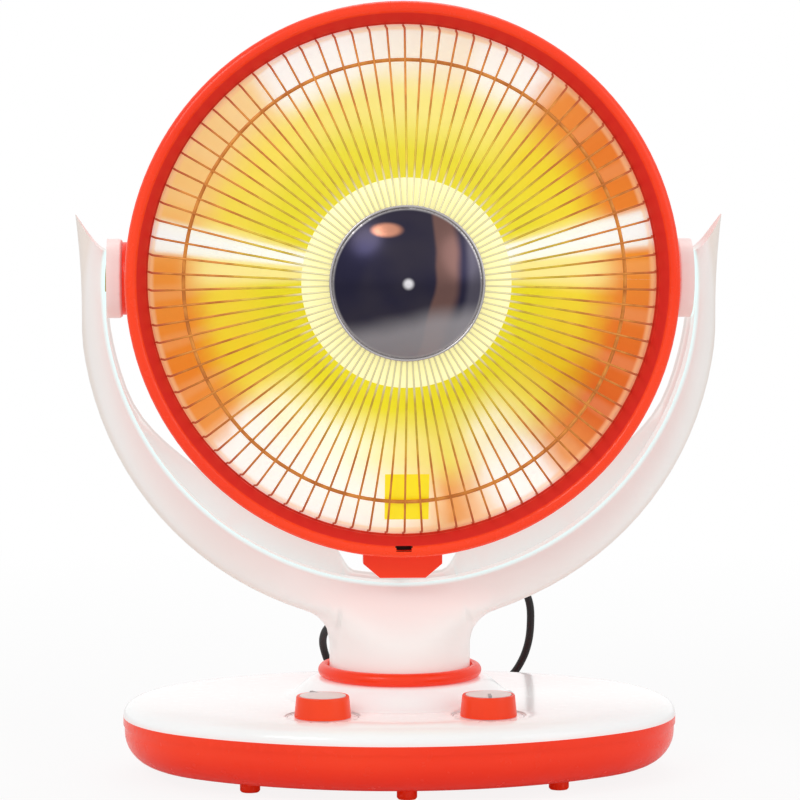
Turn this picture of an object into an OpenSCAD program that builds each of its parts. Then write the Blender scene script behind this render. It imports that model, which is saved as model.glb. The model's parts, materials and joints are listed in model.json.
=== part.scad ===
// Parabolic heater: round head with wire guard and polished dish, hung in a
// U-shaped fork that turns on an oval base. Millimetres, +Z up, front towards -Y.
// The origin is on the floor, under the upright axis that the fork turns about.

/* [Base] */
// Width of the oval base over its rim
base_w = 338; // [320:1:360]
// Depth of the oval base over its rim
base_d = 242; // [232:1:256]
// Radius of the two round ends of the oval
end_r = 97; // [90:1:104]
// Height of the seam between the red pan and the white cover
rim_z = 36; // [34:1:40]
// Height of the cover's shoulder above the seam
shoulder_h = 11; // [9:0.5:13]
// Height of the neck opening above the shoulder
hill_h = 12; // [10:0.5:15]
// Wall of the moulded shells
wall = 2.5; // [2:0.1:3]
// Height of the feet
foot_h = 6.7; // [5:0.1:9]
// Diameter of a foot
foot_d = 12; // [10:0.5:14]
// Radius of the rounding under the pan
pan_round = 20; // [16:0.5:22]
// Gap between a ballast plate and the screw bosses before and behind it
ballast_gap = 7.5; // [6.5:0.5:14]

/* [Turntable] */
// Outer diameter of the red collar ring
collar_d = 100; // [98:0.5:104]
// Height of the collar ring
collar_h = 8; // [6:0.5:10]
// Diameter of the fork's neck
neck_d = 86; // [84:0.5:87]
// Gap round the neck inside the collar
neck_gap = 1; // [0.6:0.1:1.2]
// Diameter of the hollow swivel shaft
shaft_d = 32; // [28:0.5:36]
// Radial clearance of a turning shaft in its bore
run_gap = 0.05; // [0.02:0.01:0.1]
// Half of the angle that the fork may turn through
swivel_stop = 35; // [25:1:40]

/* [Knobs] */
// Distance of each knob from the middle plane
knob_x = 49; // [45:0.5:54]
// Distance of the knobs behind the front edge of the base
knob_in = 46; // [43:0.5:48]
// Diameter of a knob at its foot
knob_d = 33.5; // [30:0.5:36]
// Height of a knob
knob_h = 12.5; // [11:0.5:15]
// Diameter of the dial well round a knob
dial_d = 45; // [42:0.5:47]

/* [Fork] */
// Height of the low point of the fork's outer curve above the neck opening
neck_h = 33; // [30:0.5:38]
// Gap between the head's ring and the fork's inner edge
fork_gap = 13; // [12:0.5:15]
// How far the centre of the inner edge lies below the tilt axis
fork_in_drop = 5.3; // [5:0.1:6]
// Width of the fork between its inner and outer edges
fork_w = 15.5; // [15:0.5:20]
// How far the centre of the outer edge lies below the tilt axis
fork_drop = 17; // [14:1:19]
// Depth of the fork, front to back
fork_t = 48; // [44:1:54]
// Height of the fork's tips above the tilt axis
tip_h = 39; // [34:1:44]

/* [Head] */
// Outer radius of the head's front ring
head_r = 165; // [160:0.5:166]
// Distance of the ring's front face before the tilt axis
ring_front = 54; // [50:1:58]
// Depth of the front ring
ring_depth = 28; // [26:1:29]
// Width of the ring from its rim in to its lip
ring_w = 12.3; // [11.5:0.1:15]
// Depth of the reflector dish
dish_depth = 66; // [55:1:70]
// Depth of the rear shell behind the tilt axis
shell_back = 92; // [88:1:96]
// Wall of the rear shell
shell_wall = 2.3; // [1.8:0.1:2.6]
// Diameter of a trunnion hub
hub_d = 48; // [42:1:50]
// Diameter of a trunnion bolt
bolt_d = 10; // [8:0.5:12]

/* [Wire guard] */
// Number of radial wires
wire_count = 90; // [60:1:96]
// Diameter of a radial wire
wire_d = 1.3; // [1.2:0.1:1.8]
// How far the support ring behind the wires stands in from the knee
support_in = 18.5; // [11:0.5:38]
// How far the knee, where a wire turns back, stands in from the ring's lip
knee_in = 4.2; // [3.7:0.1:6.7]
// How far the knee stands before the ring's front face
knee_h = 7; // [5:0.5:9]
// How far the wires rise from the knee to the cap
guard_rise = 32; // [26:1:36]
// Radius of the centre cap
cap_r = 44.6; // [40:0.1:50]
// Diameter of the bright disc behind the wires
disc_d = 122.5; // [110:0.5:130]

/* [Heating element] */
// Turns of the heating coil
coil_turns = 11; // [8:1:13]
// Diameter of the heating coil over its turns
coil_d = 27; // [26:0.5:32]

/* [Head lead] */
// Diameter of the black lead behind the fork
lead_d = 5; // [4.5:0.1:6]

/* [Hidden] */
$fn = 96;
tiny = 0.02;

// colours
red = [0.93, 0.24, 0.12];
orange = [0.94, 0.33, 0.13];
white = [0.96, 0.94, 0.93];
steel = [0.7, 0.71, 0.73];
golden = [0.9, 0.75, 0.2];
ceramic = [0.93, 0.9, 0.83];
dark = [0.13, 0.13, 0.14];
brass = [0.8, 0.66, 0.3];

// oval plan: two round ends joined by two long arcs, all tangent
half_w = base_w / 2;
half_d = base_d / 2;
end_x = half_w - end_r;
side_r = (end_x * end_x + half_d * half_d - end_r * end_r) / (2 * (half_d - end_r));
side_y = side_r - half_d;
end_angle = atan2(side_y, end_x);

// base heights
floor_z = foot_h + wall;
deck_z = rim_z + shoulder_h;
mouth_z = deck_z + hill_h;
mouth_r = collar_d / 2;
hill_r = mouth_r + 22;
well_z = deck_z - 0.9;
boss_top = 24;
boss_d = 9;
screw_d = 3.5;
head_d = 7;
screw_gap = 0.05;
boss_x = half_w - 59;
boss_y = half_d - 77;
bosses = [[boss_x, boss_y], [-boss_x, boss_y], [boss_x, -boss_y], [-boss_x, -boss_y],
  [0, 31 - half_d], [0, half_d - 47]];
foot_ring = [half_w - 39, half_d - 31];
ballast_x = half_w - 64;
ballast_w = end_r - 53;
ballast_l = 2 * (boss_y - boss_d / 2 - ballast_gap);
knob_y = half_d - knob_in;

// turntable stack, from the bearing plate up
plate_t = 3;
plate_z = mouth_z - 5;
washer_t = 1.5;
disc_z = plate_z + plate_t + washer_t;
disc_t = 3;
neck_z = disc_z + disc_t;
neck_bore_d = neck_d - 22;
post_r = 38;
post_d = 10;
nut_t = 4;
nut_gap = 0.3;
shaft_wall = 4;
stop_pin_d = 5;
stop_r = 31;

// fork curve, as angles from straight down about the centre of its outer edge
fork_in_r = head_r + fork_gap;
fork_out_r = fork_in_r + fork_w;
fork_c_z = mouth_z + neck_h + fork_out_r;
// height of the level axis that the head tilts about
pivot_z = fork_c_z + fork_drop;
neck_r = neck_d / 2;
blend_r = 22;
hub_x0 = head_r + 3;
hub_x1 = fork_in_r - 1;
bush_d = 16;
bush_x1 = fork_in_r + 6;

// head depths, measured forward from the tilt axis
ring_back = ring_front - ring_depth;
seat_h = ring_front - 16;
sheet_t = 0.8;
lip_r = head_r - ring_w;
shell_r = head_r - 2.7;
dish_r = lip_r - 2.7;
dish_low = seat_h - dish_depth;
dish_f = dish_r * dish_r / (4 * dish_depth);
dish_hole = 24;
boss_r = hub_d / 2 - 2;
hub_boss_x = hub_x0 - 0.3;

// guard: each wire runs from the hub out to the knee, then back to the rim wire
knee_r = lip_r - knee_in;
support_r = knee_r - support_in;
rim_wire_d = 3;
wire_end_r = lip_r - 1.7;
wire_end_h = seat_h + sheet_t + rim_wire_d / 2 + 0.1;
knee_z = ring_front + knee_h;
wire_in_r = cap_r - 3;
wire_in_h = knee_z + guard_rise;
rim_wire_r = wire_end_r + wire_d / 2 + rim_wire_d / 2 + tiny;
wire_rake = atan2(guard_rise, knee_r - wire_in_r);
support_h = wire_in_h - (support_r - wire_in_r) * tan(wire_rake);
hub_t = 1.5;
disc_gap = 0.2;

// heating element
coil_wire = 1.6;
former_d = coil_d - 2 * coil_wire - 0.6;
former_low = dish_low + 14;
former_top = wire_in_h - 40;

// ---------------------------------------------------------------- shared forms

// The oval plan, drawn in by inset.
module oval(inset) {
  strip = end_x + (end_r - inset) * cos(end_angle);
  for (side = [-1, 1])
    translate([side * end_x, 0]) circle(end_r - inset);
  intersection() {
    translate([0, -side_y]) circle(side_r - inset, $fn = 360);
    translate([0, side_y]) circle(side_r - inset, $fn = 360);
    square([2 * strip, base_d], center = true);
  }
}

// A wall carried round the oval: its profile is drawn as [inset, height].
module round_oval(profile) {
  far = [end_x + 4 * half_w * cos(end_angle), 4 * half_w * sin(end_angle)];
  for (side = [0, 180]) rotate([0, 0, side]) {
    intersection() {
      translate([end_x, 0, 0]) rotate_extrude()
        polygon([for (p = profile) [end_r - p[0], p[1]]]);
      linear_extrude(100) polygon([[end_x, 0], far, [far[0], -far[1]]]);
    }
    intersection() {
      translate([0, -side_y, 0]) rotate_extrude($fn = 360)
        polygon([for (p = profile) [side_r - p[0], p[1]]]);
      linear_extrude(100) polygon([[end_x, 0], far, [-far[0], far[1]], [-end_x, 0]]);
    }
  }
}

// A screw, point up, its head's underside at the origin.
module screw(length, d = screw_d, head = head_d, head_t = 2.4) {
  cylinder(h = length, d = d);
  translate([0, 0, -head_t]) cylinder(h = head_t, d = head);
}

// Turns a form made about +Z so that +Z points forward from the tilt axis.
module in_head() {
  translate([0, 0, pivot_z]) rotate([90, 0, 0]) children();
}

// ---------------------------------------------------------------- base

function shoulder(inset, reach) =
  shoulder_h * pow(1 - pow(1 - inset / reach, 8), 0.45);
shoulder_reach = 60;
shoulder_steps = [0, 0.4, 1, 2, 3.5, 5.5, 8, 11, 15, 20, 26];
shoulder_in = 26;

module base_cover() {
  outer = [for (s = shoulder_steps) [s, rim_z + shoulder(s, shoulder_reach)]];
  top = outer[len(outer) - 1][1];
  inner = [for (i = [len(shoulder_steps) - 1:-1:3])
    [shoulder_steps[i] + (i > 5 ? 0 : wall - 1), outer[i][1] - wall]];
  hill = [for (a = [0:15:180])
    [mouth_r + (hill_r - mouth_r) * a / 180, top - 0.1 + (mouth_z - top + 0.1) * (1 + cos(a)) / 2]];
  color(white) difference() {
    union() {
      round_oval(concat(outer, inner, [[wall, rim_z]]));
      translate([0, 0, top - wall]) linear_extrude(wall) difference() {
        oval(shoulder_in);
        circle(hill_r - 4);
      }
      rotate_extrude() polygon(concat(
        [for (p = hill) p], [[hill_r, top - wall]],
        [for (i = [len(hill) - 1:-1:0]) [hill[i][0] - 1.2, min(hill[i][1], mouth_z) - wall - 0.1]],
        [[mouth_r - 6, mouth_z - wall - 0.1], [mouth_r - 6, mouth_z]]));
      for (p = bosses)
        translate([p[0], p[1], boss_top + 0.3])
          cylinder(h = top - wall - boss_top + 0.2, d = boss_d);
    }
    for (p = bosses)
      translate([p[0], p[1], boss_top]) cylinder(h = 12, d = screw_d + 2 * screw_gap);
    for (side = [-1, 1])
      translate([side * knob_x, -knob_y, 0]) {
        translate([0, 0, well_z]) cylinder(h = 10, d = dial_d);
        translate([0, 0, rim_z]) cylinder(h = 20, d = 9);
      }
  }
}

pan_inset = 0.8;
pan_band = 5;

function arc_points(cx, cy, r, a0, a1, n) =
  [for (i = [0:n]) [cx + r * cos(a0 + (a1 - a0) * i / n), cy + r * sin(a0 + (a1 - a0) * i / n)]];

module base_pan() {
  out_r = pan_round;
  in_r = pan_round - wall + 0.6;
  profile = concat(
    [[0, rim_z], [0, rim_z - pan_band], [pan_inset, rim_z - pan_band - 0.8]],
    arc_points(pan_inset + out_r, foot_h + out_r, out_r, 180, 270, 10),
    [[pan_inset + out_r + 8, foot_h], [pan_inset + out_r + 8, floor_z]],
    arc_points(pan_inset + wall + in_r, floor_z + in_r, in_r, 270, 180, 8),
    [[wall + 0.2, rim_z]]);
  color(red) difference() {
    union() {
      round_oval(profile);
      translate([0, 0, foot_h]) linear_extrude(wall) oval(pan_inset + out_r + 7.5);
      for (p = bosses)
        translate([p[0], p[1], foot_h + 1]) cylinder(h = boss_top - foot_h - 1, d = boss_d);
      for (a = [45:90:315]) rotate([0, 0, a])
        translate([post_r, 0, foot_h + 1]) cylinder(h = plate_z - foot_h - 1, d = post_d);
      // ribs that tie each post to its neighbour
      for (a = [0:90:270]) rotate([0, 0, a])
        translate([post_r * cos(45) - 1, -post_r * sin(45) + 2, foot_h + 1])
          cube([2, 2 * post_r * sin(45) - 4, 15]);
    }
    for (p = bosses) {
      translate([p[0], p[1], 0]) cylinder(h = 40, d = screw_d + 2 * screw_gap);
      translate([p[0], p[1], 0]) cylinder(h = foot_h + 3, d = head_d + 0.4);
    }
    for (a = [45:90:315]) rotate([0, 0, a])
      translate([post_r, 0, plate_z - 12]) cylinder(h = 20, d = screw_d - 0.5 + 2 * screw_gap);
    translate([tip_x, tip_y, 0]) cylinder(h = 20, d = plunger_d + 2 * run_gap);
    translate([0, half_d - 10, gland_z]) rotate([-90, 0, 0]) cylinder(h = 30, d = gland_d + 0.1);
  }
}

module feet() {
  color(red) for (a = [0:45:315])
    translate([foot_ring[0] * cos(a), foot_ring[1] * sin(a), 0]) {
      cylinder(h = 1, d1 = foot_d - 1.5, d2 = foot_d);
      translate([0, 0, 1]) cylinder(h = foot_h - 1, d = foot_d);
    }
}

module base_screws() {
  color(steel) for (p = bosses)
    translate([p[0], p[1], foot_h + 3]) screw(boss_top + 9 - foot_h);
}

module ballast_plates() {
  color(steel) for (side = [-1, 1])
    translate([side * ballast_x, 0, floor_z]) linear_extrude(6) difference() {
      square([ballast_w, ballast_l], center = true);
      circle(d = 6);
    }
}

module collar_ring() {
  bore = neck_r + neck_gap;
  edge = collar_h / 2;
  color(red) translate([0, 0, mouth_z]) rotate_extrude() polygon(concat(
    [[bore, 0]], arc_points(mouth_r - edge, edge, edge, -90, 90, 12),
    [[bore + 1, collar_h - 0.1], [bore, collar_h - 0.8]]));
}

module bearing_plate() {
  color(steel) translate([0, 0, plate_z]) difference() {
    cylinder(h = plate_t, r = mouth_r - 6.3);
    translate([0, 0, -1]) cylinder(h = plate_t + 2, d = shaft_d + 2 * run_gap);
    for (a = [45:90:315]) rotate([0, 0, a])
      translate([post_r, 0, -1]) cylinder(h = plate_t + 2, d = screw_d - 0.5 + 2 * screw_gap);
    // slot for the stop pin
    rotate([0, 0, 90 - swivel_stop - 5]) rotate_extrude(angle = 2 * swivel_stop + 10)
      translate([stop_r - stop_pin_d / 2 - 0.3, -1]) square([stop_pin_d + 0.6, plate_t + 2]);
  }
}

module plate_screws() {
  color(steel) for (a = [45:90:315]) rotate([0, 0, a])
    translate([post_r, 0, plate_z + plate_t]) rotate([180, 0, 0])
      screw(11, d = screw_d - 0.5, head = 6, head_t = 1.2);
}

module glide_washer() {
  color(white) translate([0, 0, plate_z + plate_t]) difference() {
    cylinder(h = washer_t, r = stop_r - stop_pin_d / 2 - 1);
    translate([0, 0, -1]) cylinder(h = washer_t + 2, d = shaft_d + 1);
  }
}

// ---------------------------------------------------------------- controls

timer_size = [42, 42, 22];
switch_size = [32, 30, 18];
control_top = well_z - wall;
ctl_shaft_d = 6;
ctl_shaft_top = well_z + knob_h - 3.5;

module control_body(size, tabs) {
  translate([0, 0, control_top - size[2]]) difference() {
    union() {
      translate([-size[0] / 2, -size[1] / 2, 0]) cube([size[0], size[1], size[2] - 3]);
      cylinder(h = size[2], d = 12);
      for (side = [-1, 1]) translate([side * (size[0] / 2 - 5), 0, 0]) cylinder(h = size[2], d = 6);
      for (i = [0:tabs - 1])
        translate([-size[0] / 2 + 5 + i * (size[0] - 10) / max(tabs - 1, 1) - 0.4, size[1] / 2 - 0.5, 4])
          cube([0.8, 6.5, 5]);
    }
    translate([0, 0, 4]) cylinder(h = size[2], d = ctl_shaft_d + 2 * run_gap);
  }
}

module timer() {
  color(ceramic) translate([-knob_x, -knob_y, 0]) control_body(timer_size, 2);
}

module heat_switch() {
  color(dark) translate([knob_x, -knob_y, 0]) control_body(switch_size, 4);
}

module control_shaft(body_h) {
  base = control_top - body_h + 4 + run_gap;
  difference() {
    translate([0, 0, base]) cylinder(h = ctl_shaft_top - base, d = ctl_shaft_d);
    // flat that drives the knob
    translate([-5, 1.5, well_z + 2]) cube([10, 5, 20]);
  }
}

module timer_shaft() {
  color(steel) translate([-knob_x, -knob_y, 0]) control_shaft(timer_size[2]);
}

module switch_shaft() {
  color(steel) translate([knob_x, -knob_y, 0]) control_shaft(switch_size[2]);
}

knob_z = well_z + 0.4;
knob_top_d = knob_d - 3;

// Hollow knob with a tapered skirt, a rim round a sunk top and a D-shaped socket.
module knob() {
  translate([0, 0, knob_z]) difference() {
    rotate_extrude() polygon([
      [0, 1.6], [5, 1.6], [5, knob_h - 4], [knob_d / 2 - 2.4, knob_h - 4], [knob_d / 2 - 2, 0],
      [knob_d / 2, 0], [knob_d / 2, 1], [knob_top_d / 2 + 0.4, knob_h - 0.6], [knob_top_d / 2, knob_h],
      [knob_top_d / 2 - 1.2, knob_h], [knob_top_d / 2 - 1.5, knob_h - 2.2], [0, knob_h - 2.2]]);
    difference() {
      translate([0, 0, -1]) cylinder(h = knob_h - 2.5, d = ctl_shaft_d + 0.1);
      translate([-5, 1.55, 1.7]) cube([10, 5, 20]);
    }
  }
}

// Slightly domed cap that sits in the knob's sunk top, with a raised pointer.
module knob_cap(turn) {
  r = knob_top_d / 2 - 1.6;
  crown = 1.2;
  ball = (r * r + crown * crown) / (2 * crown);
  translate([0, 0, knob_z + knob_h - 2.2]) {
    intersection() {
      cylinder(h = 6, r = r);
      translate([0, 0, 2.4 + crown - ball]) sphere(ball);
    }
    rotate([0, 0, turn]) translate([-1, -r + 0.4, 1]) cube([2, 8, 2.3]);
  }
}

module left_knob() {
  color(orange) translate([-knob_x, -knob_y, 0]) knob();
}

module left_cap() {
  color(white) translate([-knob_x, -knob_y, 0]) knob_cap(-150);
}

module right_knob() {
  color(orange) translate([knob_x, -knob_y, 0]) knob();
}

module right_cap() {
  color(white) translate([knob_x, -knob_y, 0]) knob_cap(0);
}

// ---------------------------------------------------------------- base electrics

tip_x = -62;
tip_y = boss_y;
plunger_d = 8;
plunger_travel = 6;
plunger_rest = 0.2;
gland_z = 23.5;
gland_d = 10;

module terminal_block() {
  color(ceramic) translate([62, boss_y, floor_z]) difference() {
    union() {
      translate([-20, -9, 0]) cube([40, 18, 4]);
      for (i = [-1:1]) translate([i * 12 - 5, -8, 3]) cube([10, 16, 11]);
    }
    for (i = [-1:1]) {
      translate([i * 12, -12, 9]) rotate([-90, 0, 0]) cylinder(h = 24, d = 4);
      translate([i * 12, 0, 9]) cylinder(h = 9, d = 3.4);
    }
  }
}

module tipover_switch() {
  // sleeve that guides the plunger, and the microswitch above it
  color(dark) translate([tip_x, tip_y, 0]) {
    difference() {
      union() {
        translate([0, 0, floor_z]) cylinder(h = 12 - plunger_travel, d = plunger_d + 5);
        translate([-14, plunger_d / 2 + 1.5, floor_z]) cube([28, 8, 26]);
      }
      cylinder(h = 30, d = plunger_d + 2 * run_gap);
    }
    translate([-8, -4, floor_z + 17]) cube([12, 10.5, 0.6]);
  }
}

module tipover_plunger() {
  color(white) translate([tip_x, tip_y, plunger_rest]) {
    cylinder(h = floor_z + 14, d = plunger_d);
    translate([0, 0, floor_z + 12.2]) cylinder(h = 1.8, d = plunger_d + 3);
    translate([0, 0, floor_z + 14]) cylinder(h = 2.3, d1 = plunger_d - 1, d2 = 3);
  }
}

module mains_gland() {
  color(dark) translate([0, half_d, gland_z]) rotate([90, 0, 0]) difference() {
    union() {
      cylinder(h = 0.3, d1 = gland_d + 2.4, d2 = gland_d + 3);
      translate([0, 0, 0.3]) cylinder(h = 0.5, d = gland_d + 3);
      cylinder(h = 16, d = gland_d);
      translate([0, 0, 8]) cylinder(h = 3, d = gland_d + 5);
    }
    translate([0, 0, -1]) cylinder(h = 24, d = 6.5);
  }
}

// ---------------------------------------------------------------- fork

// Outer edge of the fork at angle a from straight down.
function fork_outer(a) = let (
    side = fork_out_r - 0.9,
    s = abs(sin(a)), c = cos(a),
    flare = a > 90 ? 3.6 * pow((a - 90) / 16, 2) : 0,
    ring = a > 84 ? (side + flare) / s : fork_out_r)
  ring;

// Inner edge: a circle of its own, seen from the centre of the outer edge.
edge_shift = fork_drop - fork_in_drop;
function fork_inner(a) =
  sqrt(pow(fork_in_r, 2) - pow(edge_shift * sin(a), 2)) - edge_shift * cos(a);

// The back half climbs behind the head, except in the latch's path and up the arms.
back_climb = 12.5;
function climb(a) = back_climb * smooth((a - 9.3) / 6) * (1 - smooth((a - 46) / 26));

fork_low_z = pivot_z - fork_in_drop - fork_in_r;
neck_drop = fork_c_z - neck_z;
neck_a = atan2(neck_r, neck_drop);
// where the neck's side meets the arc that blends it into the fork
blend_c_x = neck_r + blend_r;
blend_c_d = sqrt(pow(fork_out_r + blend_r, 2) - pow(blend_c_x, 2));
side_a = atan2(neck_r, blend_c_d);
arm_a = atan2(blend_c_x, blend_c_d);

// Distance to the blend arc's inner side along a ray at angle a.
function blend_edge(a) = let (
    b = blend_c_x * sin(a) + blend_c_d * cos(a),
    q = b * b - (pow(blend_c_x, 2) + pow(blend_c_d, 2) - blend_r * blend_r))
  b - sqrt(max(q, 0));

function fork_edge(a) =
  a <= neck_a ? neck_drop / cos(a) :
  a <= side_a ? neck_r / sin(a) :
  a <= arm_a ? blend_edge(a) : fork_outer(a);

// Eases from 0 to 1 as t goes from 0 to 1.
function smooth(t) = let (u = min(max(t, 0), 1)) u * u * (3 - 2 * u);

// Half width of the fork's front outline at height z.
function outline_x(z) = let (
    drop = fork_c_z - z,
    bend = blend_c_x - sqrt(max(blend_r * blend_r - pow(drop - blend_c_d, 2), 0)))
  drop > blend_c_d ? neck_r :
  drop > blend_c_d * fork_out_r / (fork_out_r + blend_r) ? bend :
  sqrt(fork_out_r * fork_out_r - drop * drop);

// Half depth of the saddle where the round neck widens into the fork.
function saddle_depth(x, z) = let (
    t = smooth((z - neck_z - 18) / (fork_low_z - neck_z - 18)),
    n = 2 + 2.6 * t,
    deep = neck_r + (fork_t / 2 - neck_r) * t)
  deep * pow(max(1 - pow(min(abs(x) / outline_x(z), 1), n), 0), 1 / n);

// Half depth of an arm: s goes from the inner edge (0) to the outer edge (1).
function arm_depth(a, s) = let (
    n = 2.1 + 2.4 * smooth((84 - a) / 40),
    slim = 1 - 0.36 * smooth((a - 78) / 28))
  fork_t / 2 * slim * pow(max(1 - pow(s, n), 0), 1 / n);

tip_a = 90 + atan2(tip_h - 22 + fork_drop, fork_in_r);
tip_lean = 90 + atan2(tip_h + fork_drop, fork_out_r + 2.7) - tip_a;
fork_steps = concat(
  [for (i = [0:6]) neck_a * sin(i * 15)],
  [for (i = [1:3]) neck_a + (side_a - neck_a) * i / 3],
  [for (i = [1:6]) side_a + (arm_a - side_a) * i / 6],
  [for (i = [1:18]) arm_a + (80 - arm_a) * i / 18],
  [for (i = [1:8]) 80 + (tip_a - 80) * i / 8]);
section_n = 12;
parting = 0.3;
lip_w = 2.5;
lip_t = 1.2;

// A point of the fork's skin: j goes from the inner edge (0) over the front to the
// outer edge (section_n). depth: 1 on the front, 0 in the middle plane. back: 1 where the
// skin climbs behind the head.
function fork_point(side, a0, j, depth, back, cut = 0, sink = 0) = let (
    s = a0 > side_a ? sin(90 * j / section_n) : j / section_n,
    lean = tip_lean * pow(smooth((a0 - 78) / (tip_a - 78)), 2),
    a = a0 + lean * s * s,
    r0 = fork_inner(a0) - back * depth * climb(a0),
    r = r0 + (fork_edge(a) - r0) * s,
    x = r * sin(a),
    z = fork_c_z - r * cos(a),
    w = smooth((arm_a + 16 - a0) / 20),
    deep = w * saddle_depth(x, z) + (1 - w) * arm_depth(a0, s))
  [side * (x + sink * sin(a)), -depth * (max(deep, parting) - cut), z - sink * cos(a)];

// One half of the fork: a skin lofted along the fork's curve, closed at the seam.
module fork_half(back) {
  n = len(fork_steps) - 1;
  m = section_n;
  ring = 2 * m + 4;
  stations = [for (k = [-n:n]) [k < 0 ? -1 : 1, fork_steps[abs(k)]]];
  points = [for (t = stations) each concat(
    [fork_point(t[0], t[1], 0, 1, back, lip_w + 0.7, lip_t),
     fork_point(t[0], t[1], 0, 1, back, lip_w)],
    [for (j = [0:m]) fork_point(t[0], t[1], j, 1, back)],
    [for (j = [m:-1:1]) fork_point(t[0], t[1], j, 0, back)],
    [fork_point(t[0], t[1], 0, 0, back, 0, lip_t)])];
  rows = len(stations);
  skin = [for (i = [0:rows - 2]) for (q = [0:ring - 1]) let (
      p = (q + 1) % ring, b = i * ring, c = b + ring)
    each [[b + q, b + p, c + p], [b + q, c + p, c + q]]];
  // each tip is closed by strips between the front points and the seam points
  strips = concat(
    [[3, 2, 1], [3, 1, 0], [3, 0, ring - 1], [3, ring - 1, ring - 2]],
    [for (j = [1:m - 1]) each [[j + 3, j + 2, ring - 1 - j], [j + 3, ring - 1 - j, ring - 2 - j]]]);
  last = (rows - 1) * ring;
  caps = concat(strips, [for (f = strips) [f[0] + last, f[2] + last, f[1] + last]]);
  polyhedron(points, concat(skin, caps), convexity = 6);
}

function screw_point(side, a) = let (r = (fork_inner(a) + fork_out_r) / 2)
  [side * r * sin(a), fork_c_z - r * cos(a)];
fork_screw_at = [for (side = [-1, 1]) for (a = [38, 66]) screw_point(side, a)];
fork_screw_y = fork_t / 2 - 10;
fork_screw_l = 26;
disc_screw_r = neck_r - 5.5;
lead_gland_x = -14;
lead_gland_z = 84;
lead_gland_d = 9;

module fork_bores() {
  translate([0, 0, neck_z - 1]) cylinder(h = 32, d = neck_bore_d);
  for (side = [0, 180]) rotate([0, 0, side]) translate([0, 0, pivot_z]) rotate([0, 90, 0]) {
    translate([0, 0, hub_x1 - 12]) cylinder(h = 12, d = hub_d + 0.6);
    cylinder(h = bush_x1, d = bush_d);
  }
  for (a = [45:90:315]) rotate([0, 0, a])
    translate([disc_screw_r, 0, neck_z - 1]) cylinder(h = 10, d = screw_d - 0.5 + 2 * screw_gap);
  for (p = fork_screw_at)
    translate([p[0], fork_screw_y + 1, p[1]]) rotate([90, 0, 0])
      cylinder(h = fork_screw_l + 1.5, d = screw_d + 2 * screw_gap);
}

module fork_front() {
  color(white) difference() {
    fork_half(0);
    fork_bores();
  }
}

module fork_back() {
  color(white) difference() {
    mirror([0, 1, 0]) fork_half(1);
    fork_bores();
    translate([lead_gland_x, 0, lead_gland_z]) rotate([-90, 0, 0])
      cylinder(h = 60, d = lead_gland_d + 0.1);
    for (p = fork_screw_at)
      translate([p[0], fork_screw_y, p[1]]) rotate([-90, 0, 0]) cylinder(h = 30, d = head_d + 0.6);
  }
}

module fork_screws() {
  color(steel) for (p = fork_screw_at)
    translate([p[0], fork_screw_y, p[1]]) rotate([90, 0, 0]) screw(fork_screw_l);
}

module turntable() {
  low = plate_z - nut_gap - nut_t - 6;
  color(steel) difference() {
    union() {
      translate([0, 0, disc_z]) cylinder(h = disc_t, r = neck_r - 1);
      translate([0, 0, low]) cylinder(h = disc_z + 1 - low, d = shaft_d);
      translate([0, stop_r, plate_z - 1]) cylinder(h = disc_z + 2 - plate_z, d = stop_pin_d);
    }
    translate([0, 0, low - 1]) cylinder(h = 60, d = shaft_d - 2 * shaft_wall);
    for (a = [45:90:315]) rotate([0, 0, a]) translate([disc_screw_r, 0, disc_z - 1]) {
      cylinder(h = 6, d = screw_d - 0.5 + 2 * screw_gap);
      cylinder(h = 2.5, d = 6.4);
    }
  }
}

module turntable_screws() {
  color(steel) for (a = [45:90:315]) rotate([0, 0, a])
    translate([disc_screw_r, 0, disc_z + 1.5])
      screw(10, d = screw_d - 0.5, head = 6, head_t = 1.3);
}

module swivel_nut() {
  color(steel) translate([0, 0, plate_z - nut_gap - nut_t]) difference() {
    cylinder(h = nut_t, d = shaft_d + 13, $fn = 6);
    translate([0, 0, -1]) cylinder(h = nut_t + 2, d = shaft_d);
  }
}

// Places a form made about +Z so that +Z points outwards along the tilt axis, both sides.
module on_trunnions() {
  for (side = [0, 180]) rotate([0, 0, side])
    translate([0, 0, pivot_z]) rotate([0, 90, 0]) children();
}

module trunnion_bushes() {
  color(brass) on_trunnions() translate([0, 0, hub_x1]) difference() {
    cylinder(h = bush_x1 - hub_x1, d = bush_d);
    translate([0, 0, -1]) cylinder(h = 20, d = bolt_d + 2 * run_gap);
  }
}

module hub_discs() {
  color(white) on_trunnions() difference() {
    union() {
      translate([0, 0, hub_x0]) cylinder(h = 1.5, d1 = hub_d - 2, d2 = hub_d);
      translate([0, 0, hub_x0 + 1.5]) cylinder(h = hub_x1 - hub_x0 - 1.5, d = hub_d);
    }
    translate([0, 0, hub_x0 - 1]) cylinder(h = 30, d = bolt_d + 2 * run_gap);
  }
}

boot_end_y = 62;

// Tapered strain relief on a short stem: flange at the origin, boot along +Z.
module cord_boot(stem, boot, tip_d) {
  translate([0, 0, -stem]) cylinder(h = stem + 0.1, d = lead_gland_d);
  cylinder(h = 2, d = lead_gland_d + 4);
  translate([0, 0, 2]) cylinder(h = boot - 2, d1 = lead_gland_d, d2 = tip_d);
  for (i = [0:3]) translate([0, 0, 5 + i * (boot - 8) / 4])
    cylinder(h = 1.4, d = lead_gland_d + 0.8 - i * 0.6);
}

module fork_gland() {
  start = sqrt(neck_r * neck_r - lead_gland_x * lead_gland_x) + 1.2;
  color(dark) translate([lead_gland_x, start, lead_gland_z]) rotate([-90, 0, 0])
    cord_boot(11, boot_end_y - start, lead_d + 1.4);
}

// ---------------------------------------------------------------- head shells

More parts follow.
